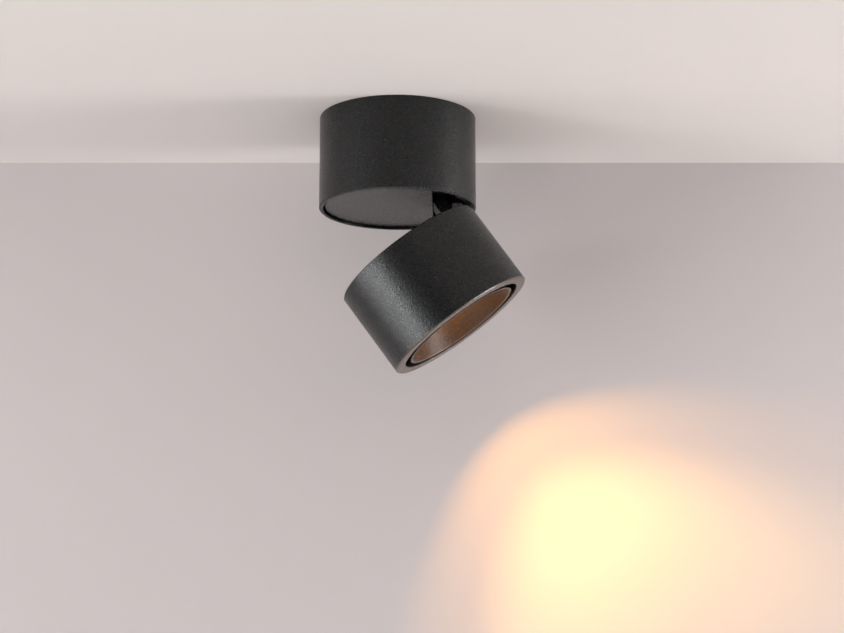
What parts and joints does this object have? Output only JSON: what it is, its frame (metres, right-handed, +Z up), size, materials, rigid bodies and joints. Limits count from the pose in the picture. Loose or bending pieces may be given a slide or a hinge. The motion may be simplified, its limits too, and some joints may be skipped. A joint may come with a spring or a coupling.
{
  "type": "surface mounted ceiling spotlight",
  "caption": "Black surface mounted ceiling spotlight: a round can on the ceiling with a swivel tray and a lamp head of the same diameter that folds out on an edge hinge.",
  "frame": {"origin": "centre of the can's ceiling face, midway between the two bracket slots", "axes": "+Z up into the ceiling, +X towards the hinge at rest, the head tilts in the XZ plane"},
  "size_m": [0.1306, 0.1, 0.1649],
  "materials": {
    "powder_black": "fine sand textured black powder coat",
    "steel": "zinc plated",
    "screw_steel": "black oxide",
    "bare_aluminium": "as cast and turned",
    "white_plastic": "moulded",
    "black_rubber": "matt",
    "pad_grey": "soft thermal pad",
    "led_phosphor": "phosphor gel"
  },
  "bodies": {
    "canopy": {"mounting_bracket": "steel", "cable_grommet": "black_rubber", "canopy_shell": "powder_black", "side_screws": "screw_steel", "bridge_plate": "steel", "bridge_screws": "screw_steel", "pan_stop_pin": "steel", "driver_case": "white_plastic", "driver_lid": "white_plastic", "driver_screws": "screw_steel", "terminal_block": "white_plastic", "terminal_screws": "steel"},
    "rotor": {"rotor_tray": "powder_black", "lead_grommet": "black_rubber", "swivel_stem": "bare_aluminium", "stem_screws": "screw_steel", "glide_washers": "white_plastic", "wave_washer": "steel", "lock_nut": "steel", "hinge_ear": "powder_black", "ear_screws": "screw_steel"},
    "head": {"hinge_pin": "steel", "pin_plug": "steel", "hinge_washers": "white_plastic", "lead_shroud": "powder_black", "shroud_screws": "screw_steel", "head_shell": "powder_black", "heat_sink": "bare_aluminium", "sink_screws": "screw_steel", "thermal_pad": "pad_grey", "led_board": "bare_aluminium", "led_chip": "led_phosphor", "led_holder": "white_plastic", "holder_screws": "screw_steel", "reflector": "powder_black", "retaining_ring": "powder_black", "ring_screws": "screw_steel"}
  },
  "joints": [
    {"name": "pan", "type": "hinge", "parent": "canopy", "child": "rotor", "pos_m": [0, 0, -0.04], "axis": [0, 0, 1], "range_deg": [-175, 175]},
    {"name": "tilt", "type": "hinge", "parent": "rotor", "child": "head", "pos_m": [0.0468, 0, -0.06475], "axis": [0, -1, 0], "range_deg": [-35.7, 54.3]}
  ]
}
